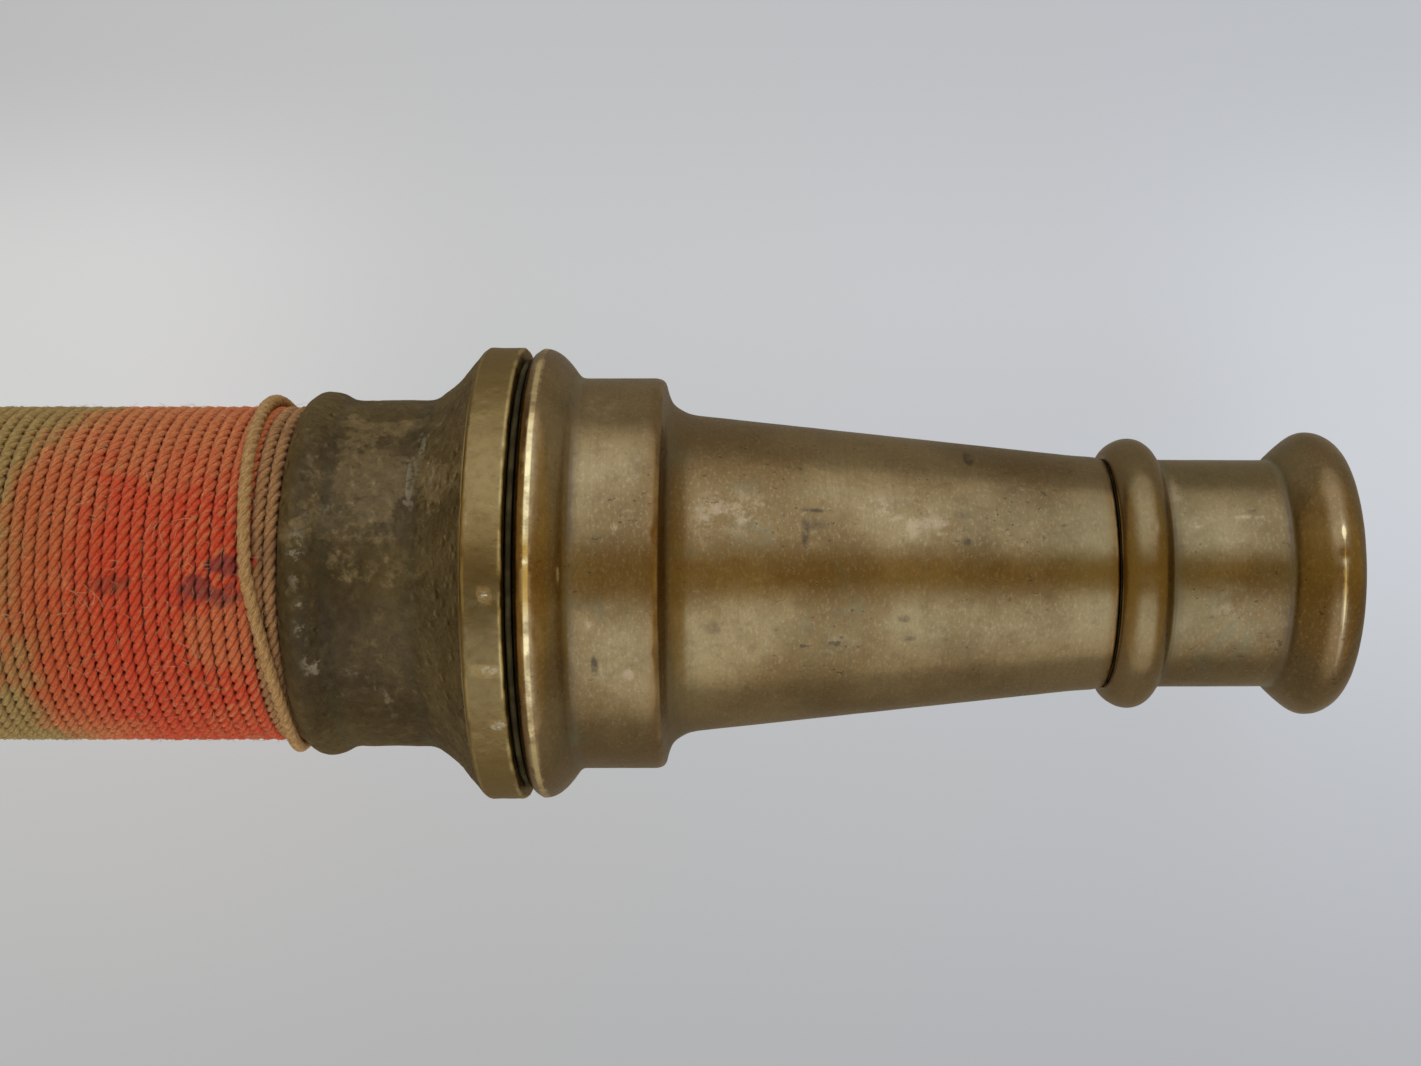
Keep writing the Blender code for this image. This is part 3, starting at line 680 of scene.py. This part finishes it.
def make_inlet_tail(material):
    outline = [
        (24.0, 24.7, 0.2), (23.2, 25.5, 0.2), (17.0, 25.5, 0.15), (17.0, 24.2, 0.15), (14.0, 24.2, 0.15),
        (14.0, 25.5, 0.15), (6.4, 25.5, 0.3),
    ]
    outline += collar_outline(0)
    outline += tail_outline(0)
    outline += [(23.2, WATERWAY_RADIUS, 0.4), (24.0, WATERWAY_RADIUS + 0.8, 0.2)]
    obj = turned_piece("inlet_tail_cast", outline, INLET, segments=200, spacing=1.0, cast=0.09)
    finish_piece(obj, "hose", material, "cast_brass", "inlet_tail")


def spanner_slots(points, angles):
    """How deep the four slots in the rim of the nut's mouth cut at each place."""
    front, back, depth, half_width, rim, outside_radius = 42.0, 35.6, 2.6, 3.6, 32.2, 35.0
    along = eased((points[:, 0] - back) / 0.5)
    high = eased((points[:, 1] - rim) / 0.3)
    quarter = np.mod(angles, math.pi / 2) - math.pi / 4
    across = 1 - eased((np.abs(quarter) * outside_radius - half_width) / 0.5)
    outside = (points[:, 0] < front + 0.1) * along * high
    return outside[:, None] * across[None, :] * depth


def make_swivel_nut(material):
    outline = [
        (42.0, 35.0, 0.8), (36.0, 35.0, 0.8), (34.4, 33.6, 0.9), (32.4, 31.0, 0.7), (13.0, 31.0, 1.5),
        (9.6, 30.0, 1.0), (9.0, 28.4, 0.5), (9.0, 26.4, 0.1), (9.5, 25.9, 0.1), (14.0, 25.9, 0.1),
        (14.0, 27.2, 0.1), (17.0, 27.2, 0.1), (17.0, 25.9, 0.1), (24.0, 25.9, 0.1), (24.0, THREAD_BORE, 0.1),
        (41.0, THREAD_BORE, 0.1), (42.0, THREAD_BORE + 1.0, 0.2),
    ]
    obj = turned_piece(
        "inlet_nut_turned", outline, INLET, segments=320, spacing=0.7, cast=0.02,
        threads=[(27.5, 41.0, THREAD_BORE, THREAD_PITCH, -1.0)], notch=spanner_slots,
    )
    finish_piece(obj, "inlet_swivel", material, "turned_brass", "inlet_swivel_nut")


# ---- materials

def linear(red, green, blue):
    """A colour given as it is seen, from 0 to 255, in the renderer's linear light."""
    def channel(value):
        value /= 255
        return value / 12.92 if value <= 0.04045 else ((value + 0.055) / 1.055) ** 2.4
    return (channel(red), channel(green), channel(blue), 1)


class Nodes:
    """Short names for the nodes of one tree. Colours in a mix are given as they are seen, from 0 to 255."""

    def __init__(self, tree, place):
        self.tree = tree
        self.place = self.node("TexCoord", {}, place)

    def node(self, kind, inputs, output, **settings):
        made = self.tree.nodes.new("ShaderNode" + kind)
        for name, value in settings.items():
            setattr(made, name, value)
        for name, value in inputs.items():
            self.link(value, made.inputs[name])
        return made.outputs[output]

    def link(self, source, target):
        if hasattr(source, "node"):
            self.tree.links.new(source, target)
        else:
            target.default_value = source

    def attribute(self, name):
        return self.node("Attribute", {}, "Fac", attribute_name=name)

    def uv(self):
        return self.node("UVMap", {}, "UV", uv_map="lay")

    def stretched(self, source, factors, offset=(0, 0, 0)):
        return self.node("Mapping", {"Vector": source, "Scale": factors, "Location": offset}, "Vector")

    def noise(self, scale, detail=3.0, roughness=0.55, source=None, distortion=0.0):
        inputs = {"Vector": self.place if source is None else source, "Scale": scale}
        inputs.update({"Detail": detail, "Roughness": roughness, "Distortion": distortion})
        return self.node("TexNoise", inputs, "Fac")

    def streaks(self, factors, detail, roughness):
        return self.noise(1.0, detail, roughness, self.stretched(self.place, factors))

    def cells(self, scale):
        return self.node("TexVoronoi", {"Vector": self.place, "Scale": scale}, "Distance")

    def math(self, operation, first, second=0.0):
        return self.node("Math", {0: first, 1: second}, 0, operation=operation)

    def times(self, first, *others):
        for other in others:
            first = self.math("MULTIPLY", first, other)
        return first

    def plus(self, first, second):
        return self.math("ADD", first, second)

    def less(self, first, second):
        return self.math("SUBTRACT", first, second)

    def most(self, first, second):
        return self.math("MAXIMUM", first, second)

    def spread(self, source, low, high, to_low=0.0, to_high=1.0):
        """Maps low..high of the source to to_low..to_high, softly and with the ends held."""
        inputs = {"Value": source, "From Min": low, "From Max": high, "To Min": to_low, "To Max": to_high}
        return self.node("MapRange", inputs, "Result", interpolation_type="SMOOTHSTEP")

    def mix(self, share, first, second):
        first, second = (linear(*colour) if isinstance(colour, tuple) else colour for colour in (first, second))
        return self.node("Mix", {"Factor": share, "A": first, "B": second}, "Result", data_type="RGBA")

    def tint(self, colour, share, strength, tone):
        """The colour moved towards the tone where the share is above 0, by the strength where it is 1."""
        return self.mix(self.times(share, strength), colour, tone)

    def part(self, axis):
        return self.node("SeparateXYZ", {0: self.place}, axis)

    def blot(self, along, across, reach_along, reach_across, ragged, ripple):
        """1 inside an ellipse seen from above, in millimetres from the seat, and 0 outside its ragged edge."""
        reach = (reach_along * MM, reach_across * MM)
        factors = (1 / reach[0], 1 / reach[1], 0)
        offset = (-(SEAT.x + along * MM) / reach[0], -(SEAT.y + across * MM) / reach[1], 0)
        spot = self.stretched(self.place, factors, offset)
        away = self.node("VectorMath", {0: spot}, "Value", operation="LENGTH")
        away = self.plus(away, self.spread(ripple, 0.3, 0.7, -ragged, ragged))
        return self.spread(away, 0.6, 1.3, 1.0, 0.0)

    def bump(self, height, strength, distance):
        return self.node("Bump", {"Height": height, "Strength": strength, "Distance": distance}, "Normal")


class Finish(Nodes):
    """One material's nodes and its shader."""

    def __init__(self, name):
        self.material = bpy.data.materials.new(name)
        self.material.use_nodes = True
        super().__init__(self.material.node_tree, "Object")
        self.shader = self.tree.nodes["Principled BSDF"]

    def set(self, socket, source):
        self.link(source, self.shader.inputs[socket])


def brass_finish(n, film):
    """The constants that all the brass shares: a thin clear film, and edges that darken, not whiten."""
    n.set("Coat Weight", film)
    n.set("Coat Roughness", 0.30)
    n.set("Specular Tint", (0.80, 0.70, 0.54, 1))


def turned_brass():
    """Old turned brass: a brown-gold film, darker off a band of the cone, bright on worn edges and crests, green
    in the corners, with pits.
    """
    n = Finish("turned_brass")
    brass_finish(n, 0.6)
    edge, hollow, mark = map(n.attribute, ("edge", "hollow", "mark"))
    patch = n.noise(38, 4, 0.6)
    fine = n.noise(420, 4, 0.65)
    rings = n.streaks((1500, 60, 60), 3, 0.6)
    along = n.less(n.part("X"), SEAT.x)
    # The colour is darker on the base, and more so towards the tip, than on a band of the cone near its root.
    cone_band = n.times(n.spread(along, 0.021, 0.026), n.spread(along, 0.036, 0.078, 1.0, 0.0))
    colour = n.mix(n.spread(patch, 0.36, 0.64), (160, 135, 86), (126, 98, 48))
    darker_off_cone = n.times(n.less(1.0, cone_band), n.spread(along, 0.018, 0.030, 0.5, 1.0))
    colour = n.tint(colour, darker_off_cone, 0.16, (0, 0, 0))
    colour = n.tint(colour, n.spread(rings, 0.48, 0.74), 0.22, (104, 88, 50))
    colour = n.tint(colour, n.spread(fine, 0.50, 0.74), 0.30, (104, 82, 44))
    grain = n.streaks((2200, 1300, 1300), 3, 0.7)
    colour = n.tint(colour, n.spread(grain, 0.48, 0.32), 0.22, (196, 176, 136))
    colour = n.tint(colour, n.spread(grain, 0.54, 0.70), 0.25, (84, 66, 32))
    cloud = n.spread(n.noise(85, 5, 0.7, distortion=0.6), 0.56, 0.70)
    colour = n.tint(colour, cloud, 0.45, (116, 110, 76))
    drab = n.spread(n.noise(24, 4, 0.6, n.stretched(n.place, (1, 1, 1), (0.3, 0.1, 0.2))), 0.50, 0.62)
    colour = n.tint(colour, drab, 0.35, (112, 102, 60))
    speckle = n.spread(n.noise(300, 4, 0.7), 0.42, 0.60)
    rubbed = n.times(n.spread(mark, 1.0, 2.0), n.spread(n.noise(150, 4, 0.7), 0.32, 0.54, 0.2, 1.0))
    bloom = n.times(n.less(n.spread(mark, 0.10, 0.90), rubbed), speckle)
    colour = n.tint(colour, bloom, 0.5, (206, 180, 138))
    pits = n.spread(n.cells(900), 0.08, 0.18, 1, 0)
    pits = n.times(pits, n.spread(n.noise(70, 2), 0.58, 0.66))
    flecks = n.spread(n.streaks((620, 950, 950), 3, 0.6), 0.64, 0.70)
    pits = n.most(pits, n.times(flecks, n.spread(patch, 0.46, 0.58, 0.0, 0.8)))
    stain = n.times(n.spread(mark, -0.15, -0.95), n.spread(fine, 0.30, 0.55))
    pits = n.most(pits, stain)
    colour = n.tint(colour, pits, 0.75, (46, 36, 18))
    worn = n.times(n.spread(edge, 0.14, 0.36), n.spread(n.noise(160, 3), 0.36, 0.62, 0.0, 0.7))
    colour = n.mix(worn, colour, (222, 196, 136))
    grime = n.plus(n.spread(edge, -0.04, -0.34), n.times(n.spread(hollow, 0.06, 0.34), 0.5))
    grime = n.times(n.math("MINIMUM", grime, 1.0), n.spread(n.noise(90, 3), 0.25, 0.60, 0.45, 1.0))
    grime_colour = n.mix(n.spread(n.noise(60, 3), 0.48, 0.64), (78, 60, 26), (92, 92, 56))
    colour = n.tint(colour, grime, 0.65, grime_colour)
    swollen = n.times(n.spread(hollow, -0.12, -0.42), n.spread(fine, 0.30, 0.66, 1.0, 0.55))
    colour = n.tint(colour, swollen, 0.5, (132, 92, 38))
    colour = n.mix(rubbed, colour, (246, 222, 158))
    n.set("Base Color", colour)
    n.set("Metallic", n.spread(n.most(grime, bloom), 0.2, 1.0, 1.0, 0.6))
    rough = n.plus(n.spread(patch, 0.3, 0.7, 0.22, 0.30), n.times(grime, 0.22))
    rough = n.plus(rough, n.spread(fine, 0.35, 0.75, -0.03, 0.10))
    rough = n.less(rough, n.times(swollen, 0.05))
    n.set("Roughness", n.less(rough, n.times(worn, 0.06)))
    height = n.plus(n.times(fine, 0.6), n.times(rings, 0.25))
    height = n.less(height, n.times(pits, 0.8))
    n.set("Normal", n.bump(height, 0.30, 0.00012))
    return n.material


def cast_brass():
    """Sand-cast brass with a rough dull skin, a turned flange, pale scuffs, lime near the corners and a painted
    highlight on the barrel.
    """
    n = Finish("cast_brass")
    brass_finish(n, 0.15)
    edge, hollow, mark = map(n.attribute, ("edge", "hollow", "mark"))
    flange_back = SEAT.x - 6.8 * MM
    turned = n.spread(n.part("X"), flange_back - 0.0002, flange_back + 0.0002)
    patch = n.noise(55, 5, 0.65, distortion=0.4)
    grain = n.noise(700, 4, 0.7)
    rough_skin = n.mix(n.spread(patch, 0.38, 0.64), (124, 106, 68), (96, 80, 50))
    # Painted highlight: a pale patch on the barrel's +Y side, where the window's light falls.
    painted_highlight = n.blot(-21.0, 12.5, 8.5, 8.5, 1.1, n.noise(140, 5, 0.7))
    rough_skin = n.tint(rough_skin, painted_highlight, 0.8, (158, 137, 95))
    colour = n.mix(turned, rough_skin, (142, 118, 70))
    specks = n.times(n.spread(grain, 0.50, 0.70), n.spread(turned, 0.0, 1.0, 0.35, 0.15))
    colour = n.mix(specks, colour, (72, 58, 30))
    scuff = n.streaks((260, 110, 110), 5, 0.7)
    scratched = n.times(n.spread(mark, 0.25, 0.90), n.spread(n.noise(420, 5, 0.75), 0.50, 0.60))
    scuff = n.most(n.times(n.spread(scuff, 0.64, 0.74), 0.7), scratched)
    streak = n.times(n.spread(mark, 1.2, 1.8), n.spread(n.noise(800, 3), 0.34, 0.46))
    scuff = n.most(scuff, n.times(streak, n.less(1.0, turned)))
    colour = n.tint(colour, scuff, 0.5, (196, 184, 150))
    colour = n.tint(colour, n.spread(mark, -0.1, -0.9), 0.6, (56, 46, 24))
    worn = n.times(n.spread(edge, 0.18, 0.42), n.spread(n.noise(180, 3), 0.38, 0.62))
    colour = n.tint(colour, worn, 0.8, (206, 184, 122))
    grime = n.plus(n.spread(edge, -0.06, -0.34), n.times(n.spread(hollow, 0.04, 0.30), 0.7))
    grime = n.math("MINIMUM", grime, 1.0)
    grime_colour = n.mix(n.spread(n.noise(80, 4), 0.48, 0.62), (52, 42, 22), (84, 84, 52))
    colour = n.tint(colour, grime, 0.75, grime_colour)
    nick = n.times(n.spread(mark, 3.1, 4.1), n.spread(n.noise(900, 3), 0.36, 0.50, 0.3, 1.0))
    colour = n.mix(nick, colour, (240, 234, 216))
    n.set("Base Color", colour)
    n.set("Metallic", n.spread(n.most(grime, scuff), 0.1, 1.0, 0.9, 0.3))
    rough = n.less(n.spread(grain, 0.3, 0.7, 0.36, 0.54), n.times(turned, 0.10))
    n.set("Roughness", rough)
    lumps = n.noise(520, 6, 0.75, distortion=0.6)
    hollows = n.spread(n.cells(520), 0.10, 0.45)
    relief = n.plus(lumps, n.times(hollows, 0.35))
    relief = n.times(relief, n.spread(turned, 0.0, 1.0, 1.0, 0.08))
    n.set("Normal", n.bump(relief, 1.0, 0.0012))
    return n.material


def twine_material(name, painted):
    """Three-ply twine, either unpainted or under old red paint that has faded towards the hose and on the
    flanks, with painted shade between the plies.
    """
    n = Finish(name)
    ply, fray = n.attribute("ply"), n.attribute("fray")
    fibres = n.noise(1.0, 4, 0.7, n.stretched(n.uv(), (1500, 4200, 1)))
    broad = n.noise(120, 4, 0.65)
    if painted:
        away = n.less(n.part("X"), SEAT.x)
        across = n.math("DIVIDE", n.less(n.part("Y"), SEAT.y), WOUND_RADIUS)
        flank = n.math("POWER", n.math("ABSOLUTE", n.plus(across, 0.12)), 4.0)
        strands = n.spread(fibres, 0.32, 0.70)
        red = n.mix(strands, (222, 54, 18), (255, 106, 54))
        dull = n.mix(strands, (206, 108, 54), (255, 170, 102))
        rusty = n.mix(strands, (190, 90, 34), (242, 144, 76))
        khaki = n.mix(strands, (160, 128, 62), (216, 184, 112))
        drift = n.spread(broad, 0.30, 0.70, -0.0035, 0.0035)
        edge = n.plus(n.less(away, drift), n.times(flank, -0.0105))
        old = n.spread(edge, -0.0740, -0.0600, 1.0, 0.0)
        older = n.spread(n.plus(edge, n.times(flank, 0.004)), -0.0805, -0.0705, 1.0, 0.0)
        top = n.spread(n.plus(across, n.spread(broad, 0.3, 0.7, -0.25, 0.25)), 0.22, 0.80, 0.0, 0.85)
        thin = n.times(n.spread(ply, 0.55, 1.0), n.spread(n.noise(430, 4, 0.7), 0.38, 0.60))
        thin = n.times(thin, n.spread(away, -0.0540, -0.0440, 0.42, 0.90))
        rubbed = n.blot(-42.5, -9.5, 5.5, 6.0, 0.5, broad)
        faded = n.blot(-73.0, 7.0, 9.0, 10.0, 0.6, broad)
        rubbed = n.times(n.most(rubbed, faded), 0.7)
        worn = n.most(n.most(top, thin), rubbed)
        colour = n.mix(worn, red, dull)
        colour = n.tint(colour, old, 0.8, n.mix(n.spread(flank, 0.05, 0.5), rusty, dull))
        colour = n.mix(older, colour, khaki)
        bruise = n.most(n.blot(-42.4, 0.8, 2.4, 1.4, 0.7, broad), n.blot(-45.4, -2.6, 4.4, 2.2, 0.9, broad))
        colour = n.tint(colour, bruise, 0.65, (124, 62, 58))
        smudge = n.blot(-59.6, -1.8, 3.0, 1.5, 0.6, broad)
        colour = n.tint(colour, smudge, 0.4, (110, 44, 30))
        # Painted shade: the darker red in the crevices between the plies.
        gap = n.mix(older, (132, 36, 16), (104, 76, 36))
    else:
        # Painted shade: the darker tan in the crevices between the plies.
        gap, strands = (96, 58, 28), n.spread(fibres, 0.34, 0.68)
        tan = n.mix(strands, (162, 112, 60), (226, 170, 108))
        straw = n.mix(strands, (168, 122, 66), (234, 190, 122))
        soiled = n.mix(n.spread(broad, 0.50, 0.68, 0.0, 0.45), tan, (150, 106, 62))
        colour = n.mix(n.spread(fray, 0.0, 0.4), soiled, straw)
        speck = n.blot(-38.4, 1.6, 1.3, 1.6, 0.4, broad)
        speck = n.times(speck, n.spread(fray, 0.0, 0.2, 0.85, 0.0))
        colour = n.mix(speck, colour, (206, 60, 34))
    # Painted shade: darker where the plies meet, in the crevices between them.
    colour = n.mix(n.spread(ply, 0.0, 0.45, 0.70, 0.0), colour, gap)
    n.set("Base Color", colour)
    n.set("Roughness", n.spread(fibres, 0.3, 0.7, 0.78, 0.96))
    n.set("Sheen Weight", 0.05)
    n.set("Normal", n.bump(fibres, 0.9, 0.00028))
    return n.material


def canvas_material():
    """Plain-woven flax canvas: warp cords along the hose, weft across, with grey handling marks."""
    n = Finish("woven_canvas")
    uv = n.uv()

    def threads(direction, pitch):
        """Cords a pitch apart, from 0 between them to 1 on their crests."""
        return n.node("TexWave", {"Vector": uv, "Scale": 1 / pitch / 3.2}, "Fac", bands_direction=direction)

    warp, weft = threads("Y", 0.0014), threads("X", 0.0019)
    weave = n.times(warp, n.plus(n.times(weft, 0.6), 0.4))
    stain = n.noise(16, 5, 0.65)
    fine = n.noise(1500, 3, 0.6)
    colour = n.mix(n.spread(stain, 0.36, 0.66), (188, 172, 138), (150, 130, 98))
    marks = n.spread(n.noise(60, 5, 0.7), 0.54, 0.70)
    colour = n.tint(colour, marks, 0.4, (110, 98, 80))
    colour = n.mix(n.spread(weave, 0.0, 0.55, 0.55, 0.0), colour, (84, 70, 50))
    colour = n.tint(colour, n.spread(fine, 0.45, 0.7), 0.3, (208, 196, 166))
    n.set("Base Color", colour)
    n.set("Roughness", n.spread(fine, 0.3, 0.7, 0.86, 0.98))
    n.set("Normal", n.bump(n.plus(weave, n.times(fine, 0.3)), 0.7, 0.0004))
    return n.material


def plain_worn(name, dark, light, scale, rough, metallic=0.0, specular=0.5):
    """A small piece's finish: two tones in patches, with a fine grain."""
    n = Finish(name)
    grain = n.noise(scale * 6, 4, 0.65)
    n.set("Base Color", n.mix(n.spread(n.noise(scale, 4), 0.38, 0.64), dark, light))
    n.set("Metallic", metallic)
    n.set("Specular IOR Level", specular)
    n.set("Roughness", n.spread(grain, 0.3, 0.7, rough - 0.08, rough + 0.08))
    n.set("Normal", n.bump(grain, 0.5, 0.0001))
    return n.material


# The pieces that show their CAD solid, and what finish they have
SMALL_PIECES = [
    (("outlet_lining", "inlet_lining", "inlet_washer"), "black_rubber", (26, 26, 27), (46, 45, 44), 120, 0.75),
    (("nozzle_washer", "tip_washer"), "washer_leather", (56, 48, 26), (82, 72, 42), 260, 0.8, 0.0, 0.1),
    (("inlet_retaining_wire",), "steel_wire", (120, 118, 112), (150, 148, 142), 200, 0.4, 1.0),
    (("inlet_wire_plug",), "plug_brass", (140, 112, 58), (176, 150, 98), 160, 0.35, 1.0),
]


def dress_small_pieces():
    for nodes, *finish in SMALL_PIECES:
        material = plain_worn(*finish)
        for node in nodes:
            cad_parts[node].data.materials.clear()
            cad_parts[node].data.materials.append(material)


# ---- light and floor

def make_floor():
    """A pale floor that glows as painted light, a little brighter behind the nozzle to fill its shadow. In the
    metal it shows darker, as if it lay deeper.
    """
    bpy.ops.mesh.primitive_plane_add(size=8)
    floor = bpy.context.object
    floor.name = "floor"
    n = Finish("floor")
    mirrored = n.node("LightPath", {}, "Is Glossy Ray")
    n.set("Base Color", n.mix(mirrored, (118, 118, 118), (180, 176, 165)))
    n.set("Roughness", 0.9)
    n.set("Specular IOR Level", 0.1)
    under_view = SEAT.x + 0.034
    sideways = n.less(n.part("X"), under_view)
    back = n.less(n.part("Y"), SEAT.y)
    away = n.math("SQRT", n.plus(n.times(sideways, sideways), n.times(back, back)))
    # Painted light: near the nozzle the floor glows unevenly, brighter close beside it, where its shadow falls.
    near = n.spread(away, 0.13, 0.36, 1.0, 0.0)
    # The painted light near the nozzle is a little cooler to the right.
    cool = n.times(near, n.spread(sideways, -0.11, 0.11))
    n.set("Emission Color", n.mix(cool, (205, 206, 206), (200, 204, 210)))
    # Painted light: near the nozzle the floor glows least below it in the view, most just above it, and less
    # again further up.
    painted_glow = n.times(n.spread(back, -0.11, 0.02, 0.53, 0.79), n.spread(back, 0.04, 0.105, 1.0, 0.84))
    # Painted light: brighter to the left, where the roll shades the floor, and a little to the right.
    sides = n.plus(n.spread(sideways, -0.115, -0.045, 0.17, 0.0), n.spread(sideways, 0.06, 0.11, 0.0, 0.08))
    sides = n.times(sides, n.spread(back, -0.035, 0.03, 0.15, 1.0), n.spread(back, 0.055, 0.095, 1.0, 0.0))
    painted_glow = n.times(painted_glow, n.plus(sides, 1.0))
    # Further off the floor glows evenly.
    glow_elsewhere = 0.71
    painted_glow = n.plus(n.times(painted_glow, near), n.times(n.less(1.0, near), glow_elsewhere))
    # The floor glows only where it is seen directly, not in reflections.
    n.set("Emission Strength", n.times(painted_glow, n.less(1.0, mirrored)))
    floor.data.materials.append(n.material)


def make_light():
    """A dim warm room with wide soft windows on both sides of the nozzle, which the metal mirrors as bands."""
    world = bpy.data.worlds.new("room")
    bpy.context.scene.world = world
    bpy.context.scene.view_settings.view_transform = "Standard"
    world.use_nodes = True
    n = Nodes(world.node_tree, "Generated")
    across, along = n.math("ABSOLUTE", n.part("Y")), n.math("ABSOLUTE", n.part("X"))
    window = n.times(
        n.spread(across, 0.15, 0.49),
        n.spread(along, 0.36, 0.74, 1.0, 0.12),
        n.spread(n.part("Z"), 0.03, 0.65, 0.45, 1.0),
        n.spread(n.part("Y"), -0.5, 0.5, 0.94, 1.06),
    )
    walls, daylight = (0.44, 0.33, 0.12, 1), (1.10, 1.23, 1.54, 1)
    light = n.node("Mix", {"Factor": window, "A": walls, "B": daylight}, "Result", data_type="RGBA")
    n.link(light, n.tree.nodes["Background"].inputs["Color"])


make_camera()
canvas = canvas_material()
make_hose(canvas)
painted = twine_material("painted_twine", True)
natural = twine_material("natural_twine", False)
make_binding("outlet", SEAT, COLLAR_FACE * MM, ROUND_LENGTH, painted, natural, 0.00062, PLY_SHAPE)
make_binding("inlet", INLET, 0.0, INLET_BOUND, painted, natural, 0.0009, PLY_SHAPE[::2])
fibre = plain_worn("loose_fibre", (196, 132, 92), (226, 190, 140), 300, 0.9)
make_fuzz("outlet", SEAT, COLLAR_FACE * MM, ROUND_LENGTH, 2400, 11, fibre, "natural_twine")
make_fuzz("inlet", INLET, 0.0, INLET_BOUND, 500, 12, fibre, "natural_twine")
cast = cast_brass()
brass = turned_brass()
make_outlet_coupling(cast)
make_nozzle(brass)
make_tip(brass)
make_inlet_tail(cast)
make_swivel_nut(brass)
dress_small_pieces()
make_floor()
make_light()
